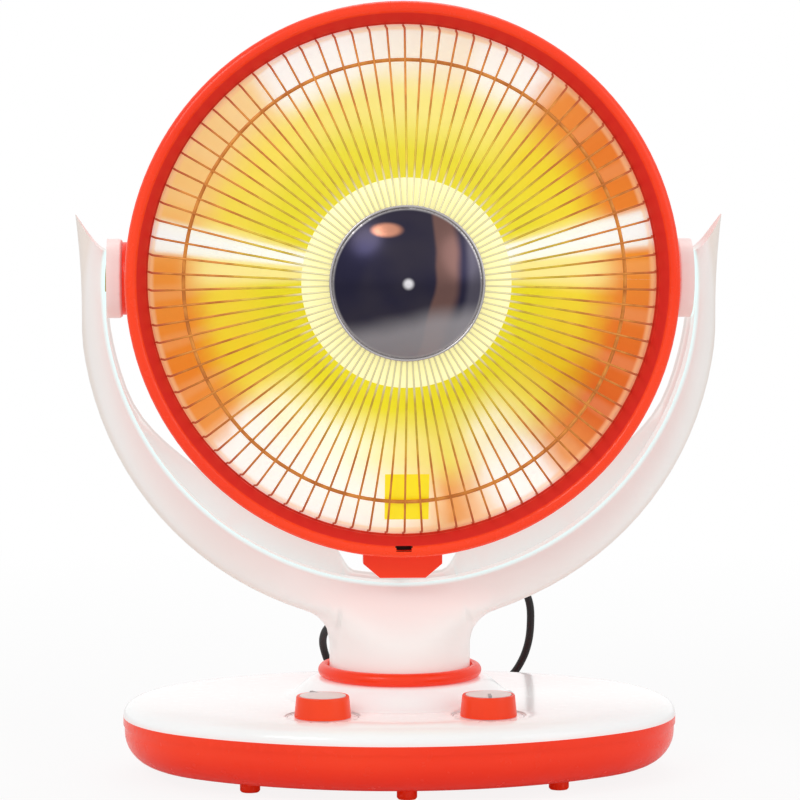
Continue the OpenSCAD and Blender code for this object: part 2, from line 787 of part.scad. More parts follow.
module front_ring() {
  lip_back = seat_h + sheet_t + rim_wire_d + 0.4;
  edge = 4;
  color(red) in_head() difference() {
    rotate_extrude($fn = 180) polygon(concat(
      [[head_r, ring_back]],
      arc_points(head_r - edge, ring_front - edge, edge, 0, 90, 6),
      [[head_r - 5.8, ring_front], [head_r - 7, ring_front - 1.4], [lip_r, ring_front - 8],
       [lip_r, lip_back], [lip_r + 3, lip_back], [head_r - 6, ring_front - 4],
       [head_r - 4, ring_front - 3.5], [head_r - 2.5, ring_front - 6], [head_r - 2.5, ring_back]]));
    // latch slot low in the face of the ring
    translate([-4.5, -head_r + 4, ring_front - 8]) cube([9, 3.3, 20]);
    translate([0, -head_r + 10, latch_h]) rotate([90, 0, 0])
      cylinder(h = 20, d = screw_d + 2 * screw_gap);
  }
}

latch_w = 47.4;
latch_low = head_r + 13.5;
latch_back = ring_back + 2;
latch_t = 11;
latch_h = latch_back + latch_t / 2;

module ring_latch() {
  chamfer = 10;
  color(red) in_head() difference() {
    translate([0, 0, latch_back]) linear_extrude(latch_t) difference() {
      polygon([
        [-latch_w / 2, -head_r + 4], [-latch_w / 2, -latch_low + chamfer - 1.5],
        [-latch_w / 2 + chamfer, -latch_low], [latch_w / 2 - chamfer, -latch_low],
        [latch_w / 2, -latch_low + chamfer - 1.5], [latch_w / 2, -head_r + 4]]);
      circle(head_r, $fn = 360);
    }
    translate([0, -head_r + 1, latch_h]) rotate([90, 0, 0]) {
      cylinder(h = 30, d = screw_d + 2 * screw_gap);
      translate([0, 0, latch_low - head_r - 2.6]) cylinder(h = 10, d = head_d + 0.4);
    }
  }
}

module latch_screw() {
  color(steel) in_head() translate([0, -latch_low + 3.6, latch_h]) rotate([-90, 0, 0])
    screw(latch_low - head_r + 3);
}

bowl_flat = 70;
bowl_start = 24;
// A point on the bowl's section: t goes from the side wall (0) to the flat back (1).
function bowl_point(r, back, t) =
  [bowl_flat + (r - bowl_flat) * cos(90 * t), -bowl_start - (back - bowl_start) * sin(90 * t)];

module rear_shell() {
  steps = 12;
  inner_back = shell_back - shell_wall;
  color(red) in_head() difference() {
    union() {
      rotate_extrude($fn = 180) polygon(concat(
        [[shell_r, seat_h]], [for (i = [0:steps]) bowl_point(shell_r, shell_back, i / steps)],
        [[15, -shell_back], [15, -inner_back]],
        [for (i = [steps:-1:0]) bowl_point(shell_r - shell_wall, inner_back, i / steps)],
        [[shell_r - shell_wall, seat_h]]));
      for (side = [0, 180]) rotate([0, 0, side]) rotate([0, 90, 0])
        translate([0, 0, shell_r - 4]) cylinder(h = hub_boss_x - shell_r + 4, r = boss_r);
    }
    for (side = [0, 180]) rotate([0, 0, side]) rotate([0, 90, 0])
      translate([0, 0, shell_r - 20]) cylinder(h = 60, d = bolt_d);
    translate([0, -head_r + 10, latch_h]) rotate([90, 0, 0])
      cylinder(h = 20, d = screw_d + 2 * screw_gap);
    // vent slots round the back
    for (a = [0:15:345]) rotate([0, 0, a])
      translate([84, -2.5, -shell_back - 5]) cube([34, 5, 40]);
    for (a = junction_at) rotate([0, 0, a])
      translate([junction_screw_r, 0, -shell_back - 1]) cylinder(h = 8, d = screw_d - 0.5 + 2 * screw_gap);
    for (side = [-1, 1]) translate([side * bracket_foot_x, 0, -shell_back - 1])
      cylinder(h = 8, d = screw_d - 0.5 + 2 * screw_gap);
  }
}

junction_d = 110;
junction_t = 16;
junction_at = [90, 210, 330];
junction_screw_r = 46;
relief_x = 4;
relief_h = -shell_back - junction_t / 2;
relief_drop = sqrt(pow(junction_d / 2 - 1.5, 2) - relief_x * relief_x);

module junction_cover() {
  r = junction_d / 2;
  color(red) in_head() difference() {
    translate([0, 0, -shell_back]) rotate([180, 0, 0]) {
      difference() {
        rotate_extrude() polygon([
          [0, junction_t], [r - 8, junction_t], [r - 3.5, junction_t - 2.5], [r - 1.5, junction_t - 6],
          [r, 0], [r - 2, 0], [r - 3.5, junction_t - 7], [r - 6, junction_t - 3],
          [r - 9, junction_t - 2], [0, junction_t - 2]]);
        // louvres
        for (i = [-2:2]) translate([-22, i * 9 - 2, junction_t - 5]) cube([44, 3.5, 10]);
      }
      for (a = junction_at) rotate([0, 0, -a])
        translate([junction_screw_r, 0, 0]) cylinder(h = junction_t - 1, d = 8);
    }
    for (a = junction_at) rotate([0, 0, a]) translate([junction_screw_r, 0, -shell_back - 30])
      cylinder(h = 40, d = screw_d - 0.5 + 2 * screw_gap);
    translate([relief_x, 0, relief_h]) rotate([90, 0, 0]) cylinder(h = 80, d = lead_gland_d + 0.1);
    // flat seat for the strain relief's flange
    translate([relief_x, -relief_drop, relief_h]) rotate([90, 0, 0])
      cylinder(h = 20, d = lead_gland_d + 4.4);
  }
}

module junction_screws() {
  color(steel) in_head() for (a = junction_at) rotate([0, 0, a])
    translate([junction_screw_r, 0, -shell_back - junction_t])
      screw(junction_t + 5, d = screw_d - 0.5, head = 6, head_t = 1.8);
}

boot_end_z = 228;

module lead_relief() {
  color(dark) translate([relief_x, -relief_h, pivot_z - relief_drop]) rotate([180, 0, 0])
    cord_boot(10, pivot_z - relief_drop - boot_end_z, lead_d + 1.4);
}

// ---------------------------------------------------------------- reflector and guard

module reflector() {
  steps = 22;
  front = [for (i = [0:steps]) let (r = dish_hole + (dish_r - dish_hole) * i / steps)
    [r, dish_low + r * r / (4 * dish_f)]];
  color(golden) in_head() rotate_extrude($fn = 180) polygon(concat(
    front,
    [[dish_r + 1, seat_h + sheet_t], [shell_r - 0.6, seat_h + sheet_t],
     [shell_r - 0.6, seat_h], [dish_r + 1.2, seat_h]],
    [for (i = [steps:-1:0]) [front[i][0] + 0.1, front[i][1] - sheet_t]]));
}

bend_r = 3;

// One wire: out along the guard, round the knee and back to the rim.
module wire() {
  turn = atan2(knee_z - wire_end_h, wire_end_r - knee_r) - wire_rake;
  cut = bend_r * tan(turn / 2);
  run = norm([knee_r - wire_in_r, guard_rise]) - cut;
  leg = norm([wire_end_r - knee_r, knee_z - wire_end_h]) - cut;
  translate([wire_in_r, 0, wire_in_h]) rotate([0, 90 + wire_rake, 0]) {
    cylinder(h = run, d = wire_d);
    translate([bend_r, 0, run]) rotate([90, 0, 180]) rotate_extrude(angle = turn)
      translate([bend_r, 0]) circle(d = wire_d);
    translate([bend_r, 0, run]) rotate([0, turn, 0]) translate([-bend_r, 0, 0])
      cylinder(h = leg, d = wire_d);
  }
}

module wire_guard() {
  color(dark) in_head() for (i = [0:wire_count - 1])
    rotate([0, 0, 360 * (i + 0.5) / wire_count]) wire($fn = 16);
}

support_d = 2.2;

module hoop(r, h, d) {
  in_head() translate([0, 0, h]) rotate_extrude($fn = 180) translate([r, 0]) circle(d = d, $fn = 24);
}

module support_ring() {
  color(dark) hoop(support_r, support_h - (wire_d + support_d) / 2 / cos(wire_rake) - tiny, support_d);
}

module guard_rim() {
  color(dark) hoop(rim_wire_r, wire_end_h, rim_wire_d);
}

hub_r = cap_r - 1.5;
hub_top = wire_in_h - wire_d / 2 / cos(wire_rake) - (hub_r - wire_in_r) * tan(wire_rake) - tiny;
stud_d = 5;

module guard_hub() {
  color(steel) in_head() translate([0, 0, hub_top - hub_t]) difference() {
    cylinder(h = hub_t, r = hub_r);
    translate([0, 0, -1]) cylinder(h = hub_t + 2, d = stud_d + 0.2);
  }
}

cap_h = 14;
cap_t = 1;
cap_sphere = (cap_r * cap_r + cap_h * cap_h) / (2 * cap_h);
// the dome rests on the wires with the inner edge of its wall
cap_foot_r = sqrt(pow(cap_sphere - cap_t, 2) - pow(cap_sphere - cap_h, 2));
cap_seat = wire_in_h + wire_d / 2 / cos(wire_rake) - (cap_foot_r - wire_in_r) * tan(wire_rake) + tiny;

module centre_cap() {
  color(steel) in_head() translate([0, 0, cap_seat]) rotate_extrude($fn = 144) {
    difference() {
      translate([0, cap_h - cap_sphere]) intersection() {
        circle(cap_sphere, $fn = 360);
        translate([0, cap_sphere - cap_h]) square([cap_r, cap_h + 1]);
      }
      translate([0, cap_h - cap_sphere]) circle(cap_sphere - cap_t, $fn = 360);
      translate([-10, -20]) square([10, 60]);
    }
    translate([cap_r, 0.8]) circle(0.8, $fn = 20);
  }
}

module cap_screw() {
  low = hub_top - hub_t - disc_gap - 5;
  color(steel) in_head() {
    translate([0, 0, low]) cylinder(h = cap_seat + cap_h - cap_t - 0.1 - low, d = stud_d);
    translate([0, 0, hub_top - hub_t - disc_gap - 0.8 - 3.2]) difference() {
      cylinder(h = 3, d = 9, $fn = 6);
      cylinder(h = 10, d = stud_d - 0.5);
    }
  }
}

module bright_disc() {
  top = hub_top - hub_t - disc_gap;
  drop = (disc_d / 2 - hub_r) * tan(wire_rake);
  color(ceramic) in_head() rotate_extrude($fn = 144) polygon([
    [stud_d / 2 + 0.1, top], [hub_r, top], [disc_d / 2, top - drop], [disc_d / 2, top - drop - 0.8],
    [hub_r, top - 0.8], [stud_d / 2 + 0.1, top - 0.8]]);
}

// ---------------------------------------------------------------- trunnions and element

module trunnion_bolts() {
  start = shell_r - 16;
  color(steel) on_trunnions() translate([0, 0, start])
    cylinder(h = bush_x1 - 0.5 - start, d = bolt_d);
}

module trunnion_nuts() {
  color(steel) on_trunnions() translate([0, 0, shell_r - 12]) difference() {
    cylinder(h = 8, d = bolt_d + 8, $fn = 6);
    translate([0, 0, -1]) cylinder(h = 20, d = bolt_d);
  }
}

module ceramic_former() {
  color(ceramic) in_head() {
    translate([0, 0, former_low]) cylinder(h = former_top - former_low - 4, d = former_d);
    translate([0, 0, former_low]) cylinder(h = 4, d = coil_d + 1);
    translate([0, 0, former_top - 6]) cylinder(h = 3, d = coil_d + 1);
    translate([0, 0, former_top - 3]) cylinder(h = 3, d1 = coil_d + 1, d2 = coil_d - 5);
  }
}

coil_low = former_low + 6;
coil_pitch = (former_top - 9 - coil_low) / coil_turns;

module heating_coil() {
  per_turn = 18;
  sides = 6;
  rings = coil_turns * per_turn;
  r0 = (coil_d - coil_wire) / 2;
  points = [for (i = [0:rings]) for (j = [0:sides - 1]) let (
      a = 360 * i / per_turn, b = 360 * j / sides,
      r = r0 + coil_wire / 2 * cos(b), h = coil_low + coil_pitch * i / per_turn + coil_wire / 2 * sin(b))
    [r * cos(a), r * sin(a), h]];
  skin = [for (i = [0:rings - 1]) for (j = [0:sides - 1]) let (
      k = (j + 1) % sides, b = i * sides, c = b + sides)
    each [[b + j, c + j, c + k], [b + j, c + k, b + k]]];
  end = rings * sides;
  color(orange) in_head() polyhedron(points, concat(skin,
    [[for (j = [0:sides - 1]) j]], [[for (j = [sides - 1:-1:0]) end + j]]));
}

base_r = dish_hole - 2;
base_flange_r = dish_hole + 4;

module ceramic_base() {
  lip = dish_low + base_flange_r * base_flange_r / (4 * dish_f) + 0.05;
  color(ceramic) in_head() difference() {
    union() {
      translate([0, 0, dish_low - 14]) cylinder(h = lip + 1 - dish_low + 14, r = base_r);
      translate([0, 0, lip]) cylinder(h = 3, r = base_flange_r);
      translate([0, 0, lip]) cylinder(h = former_low - lip, r = base_r - 7);
    }
    for (side = [-1, 1]) translate([side * 8, 0, dish_low - 15]) cylinder(h = 12, d = 4);
  }
}

bracket_foot_x = 48;
bracket_w = 24;
bracket_t = 1.5;

module element_bracket() {
  top = dish_low - 14;
  back = -shell_back + shell_wall;
  leg = 38;
  color(steel) in_head() {
    difference() {
      translate([-leg, -bracket_w / 2, top - bracket_t]) cube([2 * leg, bracket_w, bracket_t]);
      translate([0, 0, top - 5]) cylinder(h = 10, d = 16);
    }
    for (side = [0, 180]) rotate([0, 0, side]) {
      translate([leg - bracket_t, -bracket_w / 2, back]) cube([bracket_t, bracket_w, top - back]);
      difference() {
        translate([leg - bracket_t, -bracket_w / 2, back]) cube([18, bracket_w, bracket_t]);
        translate([bracket_foot_x, 0, back - 1]) cylinder(h = 5, d = screw_d - 0.5 + 2 * screw_gap);
      }
    }
  }
}

module bracket_screws() {
  color(steel) in_head() for (side = [-1, 1])
    translate([side * bracket_foot_x, 0, -shell_back]) screw(9, d = screw_d - 0.5, head = 6, head_t = 1.6);
}

module thermal_cutout() {
  color(ceramic) in_head() translate([base_r + 8.5, 0, dish_low - 14]) {
    cylinder(h = 7, d = 16);
    for (side = [-1, 1]) translate([-3, side * 9 - 0.4, 2]) cube([6, 0.8, 10]);
    translate([-4, -9.4, 1]) cube([8, 18.8, 2]);
  }
}

// ---------------------------------------------------------------- head lead

// The lead's route, from the head's strain relief to the gland in the fork's neck.
lead_route = [
  [4, 100, 228], [4, 100, 214], [4, 100, 198], [4, 100, 181], [4, 100, 165], [4, 100, 150],
  [4.2, 100, 137], [6, 100.8, 124.5], [11.5, 102.5, 113.5], [20.5, 105, 106.5],
  [31.5, 108, 104], [43.5, 111.5, 104.5], [56, 115.5, 106], [68, 120, 106.5],
  [79, 125.5, 103.5], [87, 130.5, 95.5], [91.5, 135.5, 84.5], [92.5, 140, 71.5],
  [91.5, 144, 58.5], [88, 148, 46.5], [81.5, 151.5, 35.5], [70.5, 154.5, 26], [55, 156, 20],
  [36, 156, 18], [18, 156, 18], [1, 155, 20], [-15, 152, 25], [-28, 147, 33], [-38, 140, 43],
  [-43, 131, 55], [-44, 120, 66], [-40, 108, 75], [-31, 96, 80.5], [-22, 84, 83.5],
  [-15.5, 72, 84], [-14, 62, 84]];
lead_sides = 8;

// Rounds the route: a point between two of its own, on a smooth curve through them.
function lead_point(t) = let (
    n = len(lead_route) - 1, i = min(floor(t), n - 1), u = t - i,
    p0 = lead_route[max(i - 1, 0)], p1 = lead_route[i], p2 = lead_route[i + 1],
    p3 = lead_route[min(i + 2, n)])
  0.5 * (2 * p1 + (p2 - p0) * u + (2 * p0 - 5 * p1 + 4 * p2 - p3) * u * u
    + (3 * p1 - p0 - 3 * p2 + p3) * u * u * u);

module head_lead() {
  steps = 2 * (len(lead_route) - 1);
  spine = [for (i = [0:steps]) lead_point(i / 2)];
  points = [for (i = [0:steps]) let (
      d = i == 0 ? [0, 0, -1] : i == steps ? [0, -1, 0] : spine[i + 1] - spine[i - 1],
      w = d / norm(d), side = cross(w, [0.3, 1, 0.2] - w * 0.01),
      u = side / norm(side), v = cross(w, u))
    each [for (j = [0:lead_sides - 1]) let (a = 360 * j / lead_sides)
      spine[i] + lead_d / 2 * (cos(a) * u + sin(a) * v)]];
  skin = [for (i = [0:steps - 1]) for (j = [0:lead_sides - 1]) let (
      k = (j + 1) % lead_sides, b = i * lead_sides, c = b + lead_sides)
    each [[b + j, c + j, c + k], [b + j, c + k, b + k]]];
  end = steps * lead_sides;
  color(dark) polyhedron(points, concat(skin,
    [[for (j = [0:lead_sides - 1]) j]], [[for (j = [lead_sides - 1:-1:0]) end + j]]));
}

base_pan();
base_cover();
feet();
base_screws();
ballast_plates();
collar_ring();
bearing_plate();
plate_screws();
glide_washer();
timer();
heat_switch();
terminal_block();
tipover_switch();
mains_gland();
timer_shaft();
left_knob();
left_cap();
switch_shaft();
right_knob();
right_cap();
tipover_plunger();
fork_front();
fork_back();
fork_screws();
turntable();
turntable_screws();
swivel_nut();
trunnion_bushes();
hub_discs();
fork_gland();
front_ring();
ring_latch();
wire_guard();
support_ring();
guard_rim();
guard_hub();
centre_cap();
cap_screw();
bright_disc();
reflector();
rear_shell();
latch_screw();
trunnion_bolts();
trunnion_nuts();
ceramic_former();
heating_coil();
ceramic_base();
element_bracket();
bracket_screws();
thermal_cutout();
junction_cover();
junction_screws();
lead_relief();
head_lead();
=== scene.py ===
import json
import math

import bpy
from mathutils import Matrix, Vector

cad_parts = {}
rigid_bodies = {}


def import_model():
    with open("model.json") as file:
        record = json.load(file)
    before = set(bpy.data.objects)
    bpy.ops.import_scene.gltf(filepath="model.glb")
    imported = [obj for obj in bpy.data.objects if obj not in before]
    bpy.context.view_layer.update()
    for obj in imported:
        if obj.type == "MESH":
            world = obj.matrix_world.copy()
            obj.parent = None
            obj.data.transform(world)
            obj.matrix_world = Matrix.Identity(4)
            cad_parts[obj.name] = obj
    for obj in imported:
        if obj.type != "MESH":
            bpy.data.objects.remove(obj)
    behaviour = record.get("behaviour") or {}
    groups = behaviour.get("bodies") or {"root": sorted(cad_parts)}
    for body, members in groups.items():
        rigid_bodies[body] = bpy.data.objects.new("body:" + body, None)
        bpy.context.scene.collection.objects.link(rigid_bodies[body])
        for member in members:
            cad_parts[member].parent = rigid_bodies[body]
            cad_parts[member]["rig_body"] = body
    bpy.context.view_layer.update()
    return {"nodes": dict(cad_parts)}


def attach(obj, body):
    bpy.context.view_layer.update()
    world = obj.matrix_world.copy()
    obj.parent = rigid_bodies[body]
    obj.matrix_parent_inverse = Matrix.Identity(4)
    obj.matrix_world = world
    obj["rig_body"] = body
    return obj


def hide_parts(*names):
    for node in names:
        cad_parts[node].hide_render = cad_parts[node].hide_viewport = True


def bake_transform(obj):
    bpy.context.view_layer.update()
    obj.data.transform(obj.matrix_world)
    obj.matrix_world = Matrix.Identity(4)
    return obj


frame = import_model()
nodes = frame["nodes"]

# Sizes that the pieces made here share with the source, in metres.
PIVOT_Z = 0.3025  # tilt axis above the floor
FORK_Z = 0.2855  # middle of the fork's outer bow above the floor
FORK_RISE = 0.0117  # how far above it the inner bow's middle is
LEFT_KNOB = (-0.049, -0.075)
RIGHT_KNOB = (0.049, -0.075)

# The guard: where its wires leave the hub, where they bend at the knee, and how far they rise.
WIRE_IN_R = 0.0416
KNEE_R = 0.1485
WIRE_RISE = 0.032
WIRE_IN_H = 0.093

FULL_TURN = 2 * math.pi


# ---------------------------------------------------------------- camera

def place_camera():
    """The photograph's viewpoint: two metres away, a little left and a little above."""
    data = bpy.data.cameras.new("camera")
    data.sensor_width = 36.0
    data.lens = 148.1
    data.clip_end = 60.0
    camera = bpy.data.objects.new("camera", data)
    bpy.context.scene.collection.objects.link(camera)
    camera.location = (-0.0942, -1.9978, 0.369)
    aim = Vector((-0.0024, -0.054, 0.232)) - camera.location
    camera.rotation_euler = aim.to_track_quat("-Z", "Y").to_euler()
    bpy.context.scene.camera = camera
    bpy.context.view_layer.update()


place_camera()


# ---------------------------------------------------------------- head lead

LEAD_ROUTE = [
    (0.004, 0.100, 0.228), (0.004, 0.100, 0.214), (0.004, 0.100, 0.198),
    (0.004, 0.100, 0.181), (0.004, 0.100, 0.165), (0.004, 0.100, 0.150),
    (0.0042, 0.100, 0.137), (0.006, 0.1008, 0.1245), (0.0115, 0.1025, 0.1135),
    (0.0205, 0.105, 0.1065), (0.0315, 0.108, 0.104), (0.0435, 0.1115, 0.1045),
    (0.056, 0.1155, 0.106), (0.068, 0.120, 0.1065), (0.079, 0.1255, 0.1035),
    (0.087, 0.1305, 0.0955), (0.0915, 0.1355, 0.0845), (0.0925, 0.140, 0.0715),
    (0.0915, 0.144, 0.0585), (0.088, 0.148, 0.0465), (0.0815, 0.1515, 0.0355),
    (0.0705, 0.1545, 0.026), (0.055, 0.156, 0.020), (0.036, 0.156, 0.018),
    (0.018, 0.156, 0.018), (0.001, 0.155, 0.020), (-0.015, 0.152, 0.025),
    (-0.028, 0.147, 0.033), (-0.038, 0.140, 0.043), (-0.043, 0.131, 0.055),
    (-0.044, 0.120, 0.066), (-0.040, 0.108, 0.075), (-0.031, 0.096, 0.0805),
    (-0.022, 0.084, 0.0835), (-0.0155, 0.072, 0.084), (-0.014, 0.062, 0.084)]
LEAD_D = 0.005
LEAD_STEPS = 8  # straight steps between two points of the route


def between_knots(a, b, t):
    """A point of the curve between two of its knots, at t from 0 to 1."""
    return ((1 - t) ** 3 * a.co + 3 * t * (1 - t) ** 2 * a.handle_right
            + 3 * t * t * (1 - t) * b.handle_left + t ** 3 * b.co)


def make_lead():
    """The black lead, swept along the route's points."""
    data = bpy.data.curves.new("lead", "CURVE")
    data.dimensions = "3D"
    data.bevel_depth = LEAD_D / 2
    data.bevel_resolution = 5
    data.resolution_u = LEAD_STEPS
    data.use_fill_caps = True
    spline = data.splines.new("BEZIER")
    points = [Vector(p) for p in LEAD_ROUTE]
    spline.bezier_points.add(len(points) - 1)
    last = len(points) - 1
    for i, knot in enumerate(spline.bezier_points):
        way = (points[min(i + 1, last)] - points[max(i - 1, 0)]) / 6
        knot.co = points[i]
        knot.handle_left = points[i] - way
        knot.handle_right = points[i] + way
    lead = bpy.data.objects.new("lead", data)
    bpy.context.scene.collection.objects.link(lead)
    path = [points[0]]
    for a, b in zip(spline.bezier_points[:-1], spline.bezier_points[1:]):
        path += [between_knots(a, b, k / LEAD_STEPS) for k in range(1, LEAD_STEPS + 1)]
    length = sum((after - before).length for before, after in zip(path, path[1:]))
    bpy.ops.object.select_all(action="DESELECT")
    lead.select_set(True)
    bpy.context.view_layer.objects.active = lead
    bpy.ops.object.convert(target="MESH")
    lead = bpy.context.object
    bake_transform(lead)
    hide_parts("head_lead")
    return lead


lead = make_lead()


# ---------------------------------------------------------------- shader maths

def rgb(r, g, b):
    """A colour as the eye reads it, 0 to 255, in the shader's own linear scale."""
    def line(c):
        c /= 255
        return c / 12.92 if c <= 0.04045 else ((c + 0.055) / 1.055) ** 2.4
    return (line(r), line(g), line(b), 1.0)


class Wire:
    """One output of a node. Plain Python maths on it adds the Math nodes."""

    def __init__(self, finish, socket):
        self.finish = finish
        self.socket = socket

    def _math(self, operation, a, b=0.0):
        return self.finish.node("Math", {"operation": operation}, {0: a, 1: b})

    def __add__(self, other):
        return self._math("ADD", self, other)

    __radd__ = __add__

    def __sub__(self, other):
        return self._math("SUBTRACT", self, other)

    def __rsub__(self, other):
        return self._math("SUBTRACT", other, self)

    def __mul__(self, other):
        return self._math("MULTIPLY", self, other)

    __rmul__ = __mul__

    def __truediv__(self, other):
        return self._math("DIVIDE", self, other)

    def __pow__(self, other):
        return self._math("POWER", self, other)

    def __neg__(self):
        return self._math("MULTIPLY", self, -1.0)

    def __abs__(self):
        return self._math("ABSOLUTE", self)


class Finish:
    """A material under construction, with its principled shader."""

    def __init__(self, name, **values):
        self.material = bpy.data.materials.new(name)
        self.material.use_nodes = True
        self.tree = self.material.node_tree
        self.shader = self.tree.nodes["Principled BSDF"]
        for key, value in values.items():
            self.shader.inputs[key.replace("_", " ")].default_value = value
        self._coords = None

    def node(self, kind, settings=None, inputs=None, output=0):
        """A new shader node, as the wire of one of its outputs."""
        made = self.tree.nodes.new("ShaderNode" + kind)
        for key, value in (settings or {}).items():
            if key == "stops":
                ramp = made.color_ramp
                while len(ramp.elements) < len(value):
                    ramp.elements.new(0.5)
                for element, (at, colour) in zip(ramp.elements, value):
                    element.position = at
                    element.color = colour
            else:
                setattr(made, key, value)
        for key, value in (inputs or {}).items():
            self.link(made.inputs[key], value)
        return Wire(self, made.outputs[output])

    def link(self, socket, value):
        """Feeds an input from a wire, or sets it to a plain value."""
        if isinstance(value, Wire):
            self.tree.links.new(value.socket, socket)
        else:
            socket.default_value = value

    def set(self, **values):
        """Sets or feeds inputs of the principled shader, and gives the material."""
        for key, value in values.items():
            self.link(self.shader.inputs[key.replace("_", " ")], value)
        return self.material

    def coords(self):
        if self._coords is None:
            self._coords = self.node("TexCoord", output="Object")
        return self._coords

    def place(self, about=(0, 0, 0)):
        """x, y and z of a point of the surface, counted from about."""
        moved = self.node("Mapping", None, {
            "Vector": self.coords(), "Location": [-c for c in about]})
        made = self.node("SeparateXYZ", None, {0: moved})
        outputs = made.socket.node.outputs
        return [Wire(self, outputs[i]) for i in range(3)]

    def head_place(self):
        """x, y and z counted from the tilt axis, and the distance from the head's own axis."""
        x, y, z = self.place((0, 0, PIVOT_Z))
        return x, y, z, (x * x + z * z) ** 0.5

    def noise(self, scale, detail=2.0, rough=0.5, stretch=None):
        vector = self.coords()
        if stretch:
            vector = self.node("Mapping", None, {"Vector": vector, "Scale": stretch})
        return self.node("TexNoise", None, {
            "Vector": vector, "Scale": scale, "Detail": detail, "Roughness": rough})

    def ramp(self, value, stops):
        return self.node("ValToRGB", {"stops": stops}, {0: value})

    def between(self, value, low, high):
        """0 below low, 1 above high, smooth in between."""
        return self.node("MapRange", {"interpolation_type": "SMOOTHSTEP"}, {
            "Value": value, "From Min": low, "From Max": high})

    def below(self, value, low, high):
        """1 below low, 0 above high, smooth in between."""
        return 1 - self.between(value, low, high)

    def sine(self, value):
        return self.node("Math", {"operation": "SINE"}, {0: value})

    def angle(self, up, along):
        """The angle of a direction, in radians."""
        return self.node("Math", {"operation": "ARCTAN2"}, {0: up, 1: along})

    def mix(self, factor, a, b):
        """Colour a where factor is 0, colour b where it is 1."""
        made = self.tree.nodes.new("ShaderNodeMix")
        made.data_type = "RGBA"
        self.link(made.inputs["Factor"], factor)
        self.link(made.inputs[6], a)
        self.link(made.inputs[7], b)
        return Wire(self, made.outputs[2])

    def bump(self, height, strength, distance):
        return self.node("Bump", None, {
            "Height": height, "Strength": strength, "Distance": distance})


# ---------------------------------------------------------------- finishes

def moulded(name, colour, deep, rough, coat, grain, glow, shine):
    """Glossy moulded plastic: slow drift in its colour, faint unevenness, fine scuffs, and a
    painted glow whose emission strength is given by glow.
    """
    f = Finish(name, Coat_Weight=coat, Coat_Roughness=0.08, Emission_Strength=glow,
               Specular_IOR_Level=shine)
    drift = f.noise(9.0, 3.0)
    scuffs = f.noise(160.0, 4.0, 0.65)
    skin = f.noise(420.0, 2.0)
    tone = f.mix(f.between(drift, 0.3, 0.75), colour, deep)
    return f.set(
        Base_Color=tone, Emission_Color=tone,
        Roughness=rough + 0.10 * f.between(scuffs, 0.45, 0.8) + 0.03 * drift,
        Normal=f.bump(skin + 1.5 * drift, grain, 0.0006))


def red_plastic():
    return moulded("red_plastic", rgb(246, 60, 22), rgb(240, 48, 18),
                   rough=0.3, coat=0.12, grain=0.05, glow=0.12, shine=0.25)


def ring_plastic():
    """The ring: orange-red on its rim, painted shade as a deeper red on the lip behind it, and a
    painted glow.
    """
    f = Finish("ring_plastic", Emission_Strength=0.16, Specular_IOR_Level=0.25)
    x, y, z, radius = f.head_place()
    inner = f.below(radius, 0.1574, 0.1586)  # the lip
    drift = f.noise(7.0, 3.0)
    rim = f.mix(f.between(drift, 0.3, 0.7), rgb(252, 66, 24), rgb(246, 56, 20))
    back = f.between(y, -0.048, -0.030)
    # painted shade: the lip is a deeper red; the rim is also darker towards the back
    colour = f.mix(inner, rim, rgb(216, 36, 34))
    colour = f.mix(back * 0.5, colour, rgb(226, 46, 18))
    # painted shade: the latch's slot, low in the rim, is painted dark
    slot = (f.below(abs(x), 0.0050, 0.0053) * f.below(z, -0.1580, -0.1575)
            * f.below(radius, 0.1620, 0.1622))
    colour = f.mix(slot * f.between(y, -0.0538, -0.0534), colour, rgb(24, 10, 10))
    scuffs = f.between(f.noise(150.0, 4.0), 0.45, 0.8)
    return f.set(
        Base_Color=colour, Emission_Color=colour, Coat_Weight=0.15 * (1 - inner),
        Roughness=0.24 + 0.10 * scuffs + 0.36 * inner,
        Normal=f.bump(f.noise(400.0) + drift, 0.05, 0.0006))


WHITE = rgb(250, 243, 240)
DULL_WHITE = rgb(246, 236, 232)


def white_plastic():
    return moulded("white_plastic", WHITE, DULL_WHITE,
                   rough=0.34, coat=0.1, grain=0.04, glow=0.1, shine=0.3)


def fork_plastic():
    """White plastic with a painted glow, stronger at the neck, and painted light on the inner side
    that keeps it pale where the fork faces the red head; painted shade along the arms' outer edge.
    """
    f = Finish("fork_plastic", Emission_Strength=0.55, Coat_Weight=0.1, Coat_Roughness=0.1,
               Specular_IOR_Level=0.3)
    x, _, z = f.place((0, 0, FORK_Z))
    radius = (x * x + z * z) ** 0.5
    drift = f.noise(9.0, 3.0)
    tone = f.mix(f.between(drift, 0.3, 0.75), WHITE, DULL_WHITE)
    # painted shade: a beige tint along the outer edge of the arms
    arm = f.between(z, -0.190, -0.170)
    edge = f.between(radius, 0.1885, 0.1925) * arm
    tone = f.mix(edge * 0.6, tone, rgb(238, 218, 204))
    # painted light: the inner side is painted pale cyan and glows more, or the red ring would tint
    # it
    low = z - FORK_RISE
    inner_radius = (x * x + low * low) ** 0.5
    inside = f.below(inner_radius, 0.1786, 0.1812)
    # painted glow over the rest of the fork, brighter at the neck
    neck = f.below(z, -0.185, -0.165) * f.below(abs(x), 0.040, 0.060)
    front = f.mix(neck, rgb(94, 104, 103), rgb(118, 128, 126))
    return f.set(
        Base_Color=f.mix(inside, tone, rgb(168, 200, 204)),
        Emission_Color=f.mix(inside, front, (0.94, 1.1, 1.06, 1.0)),
        Roughness=0.34 + 0.10 * f.between(f.noise(160.0, 4.0, 0.65), 0.45, 0.8),
        Normal=f.bump(f.noise(420.0) + 1.5 * drift, 0.04, 0.0006))


